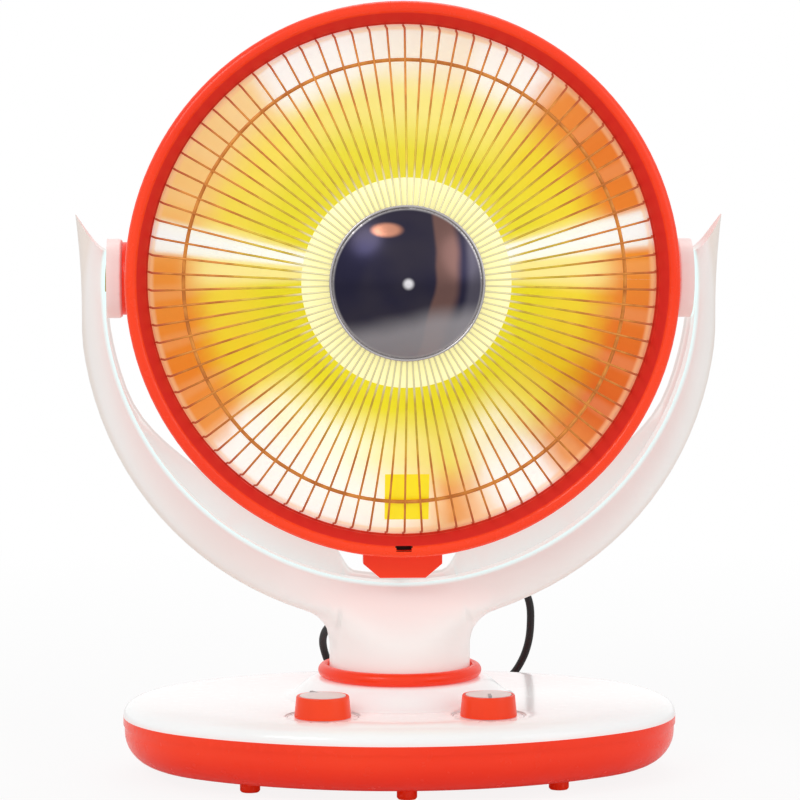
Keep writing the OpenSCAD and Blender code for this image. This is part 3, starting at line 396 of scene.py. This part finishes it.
def knob_scale(f, x, y, knob):
    """A thin line in five arcs round a knob, with twelve ticks within it."""
    dx, dy = x - knob[0], y - knob[1]
    radius = (dx * dx + dy * dy) ** 0.5
    angle = f.angle(dy, dx)
    ring = f.between(radius, 0.0205, 0.0208) * f.below(radius, 0.0213, 0.0216)
    line = ring * f.between(f.sine(angle * 5.0 + 0.6), -0.75, -0.6)
    ticks = (f.between(radius, 0.0186, 0.0188) * f.below(radius, 0.0204, 0.0206)
             * f.between(f.sine(angle * 12.0), 0.93, 0.97))
    return line * 0.8 + ticks


def cover_plastic():
    """The white cover, with a thin broken scale printed round each knob, painted pink shade low
    down, and a painted glow.
    """
    f = Finish("cover_plastic", Coat_Weight=0.12, Coat_Roughness=0.06, Emission_Strength=0.16,
               Specular_IOR_Level=0.35)
    x, y, z = f.place()
    marks = knob_scale(f, x, y, LEFT_KNOB) + knob_scale(f, x, y, RIGHT_KNOB)
    drift = f.noise(8.0, 3.0)
    plain = f.mix(f.between(drift, 0.3, 0.75), rgb(246, 248, 248), rgb(242, 243, 243))
    # painted shade: a pink tint low down, near the red pan
    low = f.between(z, 0.036, 0.039)
    plain = f.mix(1 - low, plain, rgb(246, 236, 234))
    colour = f.mix(marks * 0.75, plain, rgb(120, 116, 120))
    return f.set(
        Base_Color=colour, Emission_Color=colour,
        Roughness=0.16 + 0.1 * f.between(f.noise(150.0, 4.0), 0.5, 0.8),
        Normal=f.bump(f.noise(420.0) + drift, 0.03, 0.0006))


def pan_plastic():
    """The red pan, with painted shade darkening it low down under its rim where it turns to the
    floor, and a painted glow.
    """
    f = Finish("pan_plastic", Coat_Weight=0.15, Coat_Roughness=0.1, Emission_Strength=0.16,
               Specular_IOR_Level=0.25)
    *_, z = f.place()
    drift = f.noise(8.0, 3.0)
    rim = f.mix(f.between(drift, 0.3, 0.7), rgb(248, 62, 28), rgb(244, 54, 24))
    # painted shade: darker red low down, towards the floor
    under = f.mix(f.between(z, 0.008, 0.03), rgb(234, 44, 20), rim)
    return f.set(
        Base_Color=under, Emission_Color=under,
        Roughness=0.2 + 0.12 * f.between(f.noise(140.0, 4.0), 0.45, 0.8),
        Normal=f.bump(f.noise(400.0) + drift, 0.05, 0.0006))


def knob_plastic():
    return moulded("knob_plastic", rgb(248, 72, 26), rgb(242, 60, 22),
                   rough=0.34, coat=0.1, grain=0.08, glow=0.12, shine=0.25)


def rim_glow():
    # the guard's rim wire, painted red with a strong painted glow: painted light that hides the
    # shade in the gap behind the ring's lip
    return moulded("rim_glow", rgb(196, 44, 30), rgb(180, 36, 26),
                   rough=0.5, coat=0.0, grain=0.05, glow=0.3, shine=0.2)


def pointer(f, x, y, knob, heading):
    """The narrow strip that points from a knob's middle to its edge."""
    way = (math.cos(math.radians(heading)), math.sin(math.radians(heading)))
    dx, dy = x - knob[0], y - knob[1]
    along = dx * way[0] + dy * way[1]
    across = abs(dx * way[1] - dy * way[0])
    return (f.below(across, 0.00100, 0.00106) * f.between(along, 0.0051, 0.0053)
            * f.below(along, 0.0140, 0.0142))


def cap_plastic():
    """Pale knob top with a grey pointer: front on the right knob, rear left on the other."""
    f = Finish("cap_plastic", Coat_Weight=0.1)
    x, y, _ = f.place()
    fine = f.noise(300.0, 3.0)
    proud = pointer(f, x, y, LEFT_KNOB, 120.0) + pointer(f, x, y, RIGHT_KNOB, -90.0)
    return f.set(
        Base_Color=f.mix(proud, rgb(244, 240, 238), rgb(176, 170, 172)),
        Roughness=0.42 + 0.15 * fine, Normal=f.bump(fine, 0.08, 0.0004))


# Painted reflections and glow round the dish, as colours by turn from the right-hand hub: half way
# out, then near the rim; the near-whites are painted reflections.
MIDDLE_DISH = [
    (0.000, (240, 226, 70)), (0.090, (236, 222, 56)), (0.125, (238, 222, 66)),
    (0.165, (246, 242, 140)), (0.250, (248, 244, 160)), (0.320, (246, 238, 140)),
    (0.370, (246, 232, 108)), (0.440, (240, 226, 90)), (0.500, (240, 222, 76)),
    (0.570, (236, 212, 44)), (0.600, (238, 222, 80)), (0.622, (254, 250, 206)),
    (0.690, (254, 252, 222)), (0.730, (250, 246, 190)), (0.790, (240, 230, 120)),
    (0.822, (252, 248, 206)), (0.850, (250, 246, 200)), (0.878, (238, 226, 96)),
    (0.915, (230, 202, 36)), (0.960, (236, 214, 54)), (1.000, (240, 226, 70))]
OUTER_DISH = [
    (0.000, (230, 140, 56)), (0.014, (236, 150, 52)), (0.050, (232, 134, 50)),
    (0.090, (230, 128, 50)), (0.135, (236, 150, 74)), (0.158, (255, 252, 248)),
    (0.190, (254, 248, 236)), (0.205, (250, 236, 208)), (0.262, (250, 242, 224)),
    (0.295, (255, 252, 250)), (0.340, (255, 252, 250)), (0.358, (250, 222, 168)),
    (0.450, (244, 200, 128)), (0.495, (234, 152, 66)), (0.560, (232, 134, 42)),
    (0.604, (236, 156, 80)), (0.620, (253, 248, 242)), (0.700, (253, 249, 244)),
    (0.735, (250, 240, 226)), (0.770, (246, 220, 188)), (0.786, (232, 160, 92)),
    (0.806, (246, 216, 186)), (0.822, (254, 250, 246)), (0.850, (253, 248, 242)),
    (0.872, (230, 150, 84)), (0.905, (214, 98, 34)), (0.955, (222, 112, 40)),
    (1.000, (230, 140, 56))]

# Painted light: the pale beams towards the hubs and the haze round each, as middle and half width
# in turns.
DISH_HAZES = [(0.480, 0.030), (0.022, 0.034)]
DISH_BEAMS = [(0.4715, 0.0125), (0.0335, 0.0145)]
DISH_BANDS = 30  # faint bands round the dish


def apart(f, turn, middle):
    """How far a turn is from middle, either way round."""
    off = abs(turn - middle)
    return f.node("Math", {"operation": "MINIMUM"}, {0: off, 1: 1 - off})


def dish_reflections(f, z, radius, turn, cloud):
    """Painted reflections and glow: yellow near the middle, then two rounds of colour whose edges
    are broken up by cloud, with faint pale bands.
    """
    soft_turn = turn + 0.018 * (cloud - 0.5)
    outer = f.ramp(soft_turn, [(at, rgb(*c)) for at, c in OUTER_DISH])
    middle = f.ramp(soft_turn, [(at, rgb(*c)) for at, c in MIDDLE_DISH])
    bands = f.sine(turn * FULL_TURN * DISH_BANDS)
    outer = f.mix(0.10 * f.between(bands, 0.2, 1.0), outer, rgb(255, 236, 205))
    inner = f.mix(f.between(z, -0.02, 0.10), rgb(226, 222, 46), rgb(232, 230, 76))
    cloudy = radius + 0.016 * (cloud - 0.5)
    colour = f.mix(f.between(cloudy, 0.078, 0.106), inner, middle)
    return f.mix(f.between(cloudy, 0.108, 0.134), colour, outer)


def dish_beams(f, colour, radius, turn):
    """Painted light: two pale beams, one towards each hub, each in a wider yellow haze."""
    for middle, half in DISH_HAZES:
        off = apart(f, turn, middle)
        haze = f.below(off, half * 0.6, half * 1.1) * f.below(radius, 0.112, 0.138)
        colour = f.mix(haze * 0.75, colour, rgb(252, 248, 186))
    for middle, half in DISH_BEAMS:
        off = apart(f, turn, middle)
        beam = f.below(off, half * 0.55, half * 1.15)
        stripe = f.between(off, half * 0.15, half * 0.5)
        white = f.mix(stripe * 0.25, rgb(246, 252, 255), rgb(250, 248, 196))
        colour = f.mix(beam * 0.94, colour, white)
    return colour


def golden_dish():
    """Polished golden sheet with painted reflections and a painted glow: yellow within, orange and
    white flashes near the rim, dull behind.
    """
    f = Finish("golden_dish", Metallic=0.1, Emission_Strength=0.48, Specular_IOR_Level=0.25)
    black = (0, 0, 0, 1)
    x, _, z, radius = f.head_place()
    turn = f.angle(z, x) / FULL_TURN
    turn = turn + f.below(turn, -0.0001, 0.0)
    cloud = f.noise(22.0, 4.0, 0.6)
    colour = dish_reflections(f, z, radius, turn, cloud)
    colour = dish_beams(f, colour, radius, turn)
    # painted highlight: the rolled rim is paler
    rim = f.between(radius, 0.1475, 0.1495)
    colour = f.mix(rim * 0.6, colour, rgb(246, 200, 160))
    # painted shade: the dish seen through the latch's slot is dark
    seen_slot_shade = f.below(abs(x), 0.0058, 0.0062) * f.below(z, -0.1556, -0.1550)
    colour = f.mix(seen_slot_shade, colour, rgb(30, 14, 12))
    spin = f.node("TexNoise", None, {
        "Vector": f.node("CombineXYZ", None, {0: radius * 900.0, 1: turn * 4.0}),
        "Scale": 1.0, "Detail": 2.0})
    # the whites glow a little bluer, or the yellow round them would tint them
    blue = f.node("SeparateColor", None, {0: colour}, output=2)
    glow = f.mix(f.between(blue, 0.35, 0.85), f.mix(0.5, colour, black), (0.5, 0.66, 0.84, 1))
    facing = f.node("SeparateXYZ", None, {0: f.node("TexCoord", output="Normal")}, output=1)
    rear = f.between(facing, 0.0, 0.1)
    colour = f.mix(rear, colour, rgb(150, 124, 84))
    glow = f.mix(rear, glow, black)
    return f.set(
        Base_Color=colour, Emission_Color=glow,
        Roughness=0.28 + 0.12 * spin + 0.1 * cloud,
        Normal=f.bump(spin, 0.06, 0.0003))


def guard_plating():
    """Plated wire with painted reflections of the dish's colours and a painted glow: pale gold
    inside, brown outside.
    """
    f = Finish("guard_plating", Metallic=0.35, Emission_Strength=0.22, Specular_IOR_Level=0.3)
    *_, radius = f.head_place()
    fine = f.noise(90.0, 3.0)
    inner = f.mix(fine, rgb(224, 218, 176), rgb(200, 192, 146))
    golden = f.mix(f.between(fine, 0.35, 0.65), rgb(206, 180, 62), rgb(184, 156, 52))
    brown = f.mix(f.between(fine, 0.35, 0.65), rgb(206, 134, 60), rgb(180, 106, 46))
    outer = f.mix(f.between(radius, 0.088, 0.112), golden, brown)
    far = f.mix(f.between(radius, 0.138, 0.147), outer, rgb(176, 84, 50))
    colour = f.mix(f.between(radius, 0.060, 0.072), inner, far)
    return f.set(
        Base_Color=colour, Emission_Color=colour,
        Roughness=0.25 + 0.25 * fine, Normal=f.bump(fine, 0.05, 0.0002))


def cap_plating():
    """Dark mirror dome with painted reflections: blue-black with a brown sweep, pale towards its
    rolled edge, and a painted highlight in the middle.
    """
    f = Finish("cap_plating", Metallic=1.0)
    x, _, z, radius = f.head_place()
    slow = f.noise(26.0, 2.0, 0.4)
    dark = f.mix(f.between(slow, 0.35, 0.6), rgb(44, 42, 62), rgb(58, 54, 66))
    # painted reflections: a brown sweep down the right-hand side, and grey outside it
    across = x + 3.0 * z * z - 0.1 * z + 0.01 * slow
    sweep = f.between(across, 0.019, 0.022) * f.below(across, 0.030, 0.036)
    dark = f.mix(sweep * 0.8, dark, rgb(124, 92, 84))
    dark = f.mix(f.between(across, 0.036, 0.041) * 0.7, dark, rgb(96, 92, 104))
    # a painted reflection: a warm spot near the top
    warm_x, warm_z = x + 0.012, z - 0.031
    warm = f.below((warm_x * warm_x * 0.35 + warm_z * warm_z * 1.6) ** 0.5, 0.003, 0.0065)
    dark = f.mix(warm * 0.9, dark, rgb(206, 142, 116))
    # painted reflections pale below and on the rolled edge, and a painted highlight as a bright
    # point in the middle
    low = f.between(-z + 0.2 * x + 0.012 * slow, 0.020, 0.036)
    dark = f.mix(low * 0.7, dark, rgb(176, 172, 176))
    edge = f.between(radius, 0.0418, 0.0438)
    dark = f.mix(edge, dark, rgb(188, 184, 184))
    star_highlight = f.below(radius, 0.0012, 0.0042)
    dark = f.mix(star_highlight, dark, rgb(244, 242, 246))
    return f.set(Base_Color=dark, Roughness=0.20 + 0.10 * f.noise(60.0),
                 Normal=f.bump(f.noise(18.0, 1.0), 0.04, 0.001))


def disc_enamel():
    """Cream enamel disc, whiter towards its edge, with a painted glow."""
    f = Finish("disc_enamel", Emission_Strength=0.40)
    *_, radius = f.head_place()
    fine = f.noise(120.0, 3.0)
    colour = f.mix(f.between(radius, 0.050, 0.061), rgb(248, 243, 186), rgb(250, 246, 196))
    return f.set(Base_Color=colour, Emission_Color=colour,
                 Roughness=0.35 + 0.2 * fine, Normal=f.bump(fine, 0.05, 0.0003))


def bare_steel(name="bare_steel", tone=rgb(176, 178, 184)):
    """Turned or rolled steel with fine tool lines."""
    f = Finish(name, Metallic=1.0)
    lines = f.noise(220.0, 3.0, 0.6, (1.0, 1.0, 6.0))
    slow = f.noise(20.0)
    return f.set(
        Base_Color=f.mix(0.35 * slow, tone, rgb(120, 120, 126)),
        Roughness=0.28 + 0.25 * lines, Normal=f.bump(lines, 0.1, 0.0003))


def brass():
    return bare_steel("turned_brass", rgb(204, 170, 96))


def ceramic():
    """Matt steatite with a few specks."""
    f = Finish("steatite")
    grain = f.noise(260.0, 4.0, 0.7)
    return f.set(
        Base_Color=f.mix(f.between(grain, 0.6, 0.72), rgb(236, 230, 214), rgb(204, 194, 172)),
        Roughness=0.55 + 0.25 * grain, Normal=f.bump(grain, 0.2, 0.0004))


def black_plastic():
    """Black nylon with a fine moulded texture."""
    f = Finish("black_nylon")
    grain = f.noise(500.0, 3.0, 0.6)
    return f.set(
        Base_Color=f.mix(grain, rgb(24, 24, 27), rgb(38, 38, 42)),
        Roughness=0.45 + 0.2 * grain, Normal=f.bump(grain, 0.2, 0.0004))


def sheath():
    """Black rubber-like sheath, dusty in places."""
    f = Finish("black_sheath")
    grain = f.noise(700.0, 3.0, 0.6)
    dust = f.noise(30.0, 4.0)
    return f.set(
        Base_Color=f.mix(f.between(dust, 0.5, 0.8), rgb(18, 18, 20), rgb(46, 45, 47)),
        Roughness=0.42 + 0.25 * grain, Normal=f.bump(grain, 0.15, 0.0003))


def hot_wire():
    """Oxidised resistance wire, dull orange where it runs hot."""
    f = Finish("resistance_wire", Metallic=0.6, Emission_Strength=0.5)
    patch = f.noise(60.0, 3.0)
    colour = f.mix(patch, rgb(150, 74, 38), rgb(96, 60, 48))
    return f.set(Base_Color=colour, Emission_Color=colour, Roughness=0.5 + 0.3 * patch,
                 Normal=f.bump(patch, 0.1, 0.0002))


def plate_yellow():
    """Bright yellow sheet, bare, with a soft sheen and a painted glow."""
    f = Finish("plate_yellow", Emission_Strength=0.25)
    grain = f.noise(180.0, 3.0)
    colour = f.mix(grain, rgb(255, 238, 10), rgb(250, 228, 20))
    return f.set(Base_Color=colour, Emission_Color=colour, Roughness=0.35 + 0.2 * grain,
                 Normal=f.bump(grain, 0.05, 0.0002))


# ---------------------------------------------------------------- dressing the solids

MERGE = 0.000004  # corners nearer than this become one


def dress(node, material, angle):
    """A smoothly shaded copy of a node in its finish, standing for the node."""
    source = nodes[node]
    mesh = source.data.copy()
    piece = bpy.data.objects.new(node + "_part", mesh)
    bpy.context.scene.collection.objects.link(piece)
    bpy.ops.object.select_all(action="DESELECT")
    piece.select_set(True)
    bpy.context.view_layer.objects.active = piece
    bpy.ops.object.mode_set(mode="EDIT")
    bpy.ops.mesh.select_all(action="SELECT")
    bpy.ops.mesh.remove_doubles(threshold=MERGE)
    bpy.ops.object.mode_set(mode="OBJECT")
    bpy.ops.object.shade_smooth_by_angle(angle=math.radians(angle))
    even = piece.modifiers.new("even", "WEIGHTED_NORMAL")
    even.keep_sharp = True
    bpy.ops.object.modifier_apply(modifier=even.name)
    mesh.materials.clear()
    mesh.materials.append(material)
    body = source["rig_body"]
    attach(piece, body)
    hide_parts(node)


red = red_plastic()
white = white_plastic()
knob_red = knob_plastic()
pale = cap_plastic()
steel = bare_steel()
yellow_brass = brass()
stone = ceramic()
black = black_plastic()
plating = guard_plating()
rim_red = rim_glow()
lead.data.materials.append(sheath())
pan_red = pan_plastic()
cover_white = cover_plastic()
fork_white = fork_plastic()

# Each finish, the steepest edge in degrees that it still rounds over, and its nodes.
DRESSING = [
    (pan_red, 35, ["base_pan"]),
    (cover_white, 35, ["base_cover"]),
    (red, 35, ["collar_ring", "feet"]),
    (knob_red, 25, ["left_knob", "right_knob"]),
    (pale, 25, ["left_cap", "right_cap"]),
    (fork_white, 32, ["fork_front", "fork_back"]),
    (white, 35, ["hub_discs"]),
    (ring_plastic(), 28, ["front_ring"]),
    (red, 35, ["ring_latch"]),
    (plating, 60, ["wire_guard", "support_ring"]),
    (rim_red, 60, ["guard_rim"]),
    (cap_plating(), 40, ["centre_cap"]),
    (disc_enamel(), 35, ["bright_disc"]),
    (golden_dish(), 40, ["reflector"]),
    (red, 32, ["rear_shell", "junction_cover"]),
    (black, 40, ["lead_relief", "fork_gland", "mains_gland"]),
    (hot_wire(), 80, ["heating_coil"]),
    (stone, 35, ["ceramic_former", "ceramic_base", "terminal_block", "thermal_cutout"]),
    (black, 35, ["timer", "heat_switch", "tipover_switch"]),
    (steel, 35, ["base_screws", "ballast_plates", "bearing_plate", "plate_screws", "timer_shaft",
                 "switch_shaft", "fork_screws", "turntable", "turntable_screws", "swivel_nut",
                 "trunnion_bolts", "trunnion_nuts", "element_bracket", "bracket_screws",
                 "junction_screws", "latch_screw", "cap_screw", "guard_hub"]),
    (yellow_brass, 35, ["trunnion_bushes"]),
    (pale, 35, ["tipover_plunger", "glide_washer"])]

for finish, edge, names in DRESSING:
    for name in names:
        dress(name, finish, edge)


# ---------------------------------------------------------------- blank plate on the guard

PLATE_SIZE = (0.0262, 0.0005, 0.0288)
PLATE_X = 0.0012
PLATE_REACH = 0.1272  # its middle, below the head's axis
PLATE_BEHIND = 0.0037  # behind the wires and their support ring


def make_plate():
    """A blank yellow plate clipped behind the guard, near its lowest wires."""
    rake = math.atan2(WIRE_RISE, KNEE_R - WIRE_IN_R)
    bpy.ops.object.select_all(action="DESELECT")
    bpy.ops.mesh.primitive_cube_add(size=1.0, location=(PLATE_X, 0.0, 0.0))
    plate = bpy.context.object
    plate.name = "guard_plate"
    plate.scale = PLATE_SIZE
    bpy.ops.object.transform_apply(location=True, rotation=False, scale=True)
    bevel = plate.modifiers.new("corners", "BEVEL")
    bevel.width = 0.0002
    bevel.segments = 2
    bpy.ops.object.modifier_apply(modifier=bevel.name)
    plate.rotation_euler = (rake, 0.0, 0.0)
    wires = WIRE_IN_H - (PLATE_REACH - WIRE_IN_R) * math.tan(rake)
    plate.location = (0.0, PLATE_BEHIND - wires, PIVOT_Z - PLATE_REACH)
    bpy.ops.object.transform_apply(location=True, rotation=True, scale=True)
    bpy.ops.object.shade_smooth_by_angle(angle=math.radians(30))
    plate.data.materials.append(plate_yellow())
    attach(plate, "head")


make_plate()


# ---------------------------------------------------------------- studio

def add(tree, kind, inputs, **settings):
    """A shader node with its settings. An input is a value, or another node's output."""
    made = tree.nodes.new("ShaderNode" + kind)
    for key, value in settings.items():
        setattr(made, key, value)
    for key, value in inputs.items():
        if isinstance(value, bpy.types.NodeSocket):
            tree.links.new(value, made.inputs[key])
        else:
            made.inputs[key].default_value = value
    return made


def make_floor():
    """A plain pale floor that keeps the shadow, with a white look to the camera."""
    bpy.ops.object.select_all(action="DESELECT")
    bpy.ops.mesh.primitive_plane_add(size=24.0, location=(0, 0, 0))
    floor = bpy.context.object
    floor.name = "floor"
    material = bpy.data.materials.new("pale_floor")
    material.use_nodes = True
    tree = material.node_tree
    tree.nodes.clear()
    matt = add(tree, "BsdfDiffuse", {"Color": (0.86, 0.86, 0.86, 1)})
    glow = add(tree, "Emission", {"Color": (1, 1, 1, 1)})
    path = add(tree, "LightPath", {})
    seen = add(tree, "Math", {0: path.outputs["Is Camera Ray"],
                              1: path.outputs["Is Transmission Ray"]}, operation="MAXIMUM")
    # whiter with distance, so that the floor meets the backdrop without a seam
    place = add(tree, "TexCoord", {})
    away = add(tree, "VectorMath", {0: place.outputs["Object"]}, operation="LENGTH")
    share = add(tree, "MapRange", {"Value": away.outputs["Value"], "From Min": 0.3,
                                   "From Max": 1.2, "To Min": 0.88, "To Max": 1.0})
    part = add(tree, "Math", {0: seen.outputs[0], 1: share.outputs[0]}, operation="MULTIPLY")
    mix = add(tree, "MixShader", {0: part.outputs[0], 1: matt.outputs[0], 2: glow.outputs[0]})
    add(tree, "OutputMaterial", {"Surface": mix.outputs[0]})
    floor.data.materials.append(material)


def make_world():
    """White to the camera and in reflections, and a softer white as a light."""
    world = bpy.data.worlds.new("studio")
    bpy.context.scene.world = world
    world.use_nodes = True
    tree = world.node_tree
    tree.nodes.clear()
    soft = add(tree, "Background", {"Color": (1, 1, 1, 1), "Strength": 0.62})
    clear = add(tree, "Background", {"Color": (1, 1, 1, 1), "Strength": 1.0})
    path = add(tree, "LightPath", {})
    direct = add(tree, "Math", {0: path.outputs["Is Camera Ray"],
                                1: path.outputs["Is Glossy Ray"]}, operation="MAXIMUM")
    seen = add(tree, "Math", {0: direct.outputs[0],
                              1: path.outputs["Is Transmission Ray"]}, operation="MAXIMUM")
    mix = add(tree, "MixShader", {0: seen.outputs[0], 1: soft.outputs[0], 2: clear.outputs[0]})
    add(tree, "OutputWorld", {"Surface": mix.outputs[0]})


def add_lamp(name, where, size, power):
    """A round soft lamp that looks at the heater's middle."""
    aim = Vector((0, 0, 0.22))
    data = bpy.data.lights.new(name, "AREA")
    data.shape = "DISK"
    data.size = size
    data.energy = power
    lamp = bpy.data.objects.new(name, data)
    bpy.context.scene.collection.objects.link(lamp)
    lamp.location = where
    lamp.rotation_euler = (aim - Vector(where)).to_track_quat("-Z", "Y").to_euler()


make_floor()
make_world()
add_lamp("key", (-1.5, -1.9, 1.9), 1.2, 16.0)
add_lamp("fill", (1.9, -1.5, 1.1), 1.6, 8.0)
add_lamp("top", (0.2, 0.9, 2.2), 1.4, 9.0)

bpy.context.scene.view_settings.view_transform = "Standard"
bpy.context.view_layer.update()
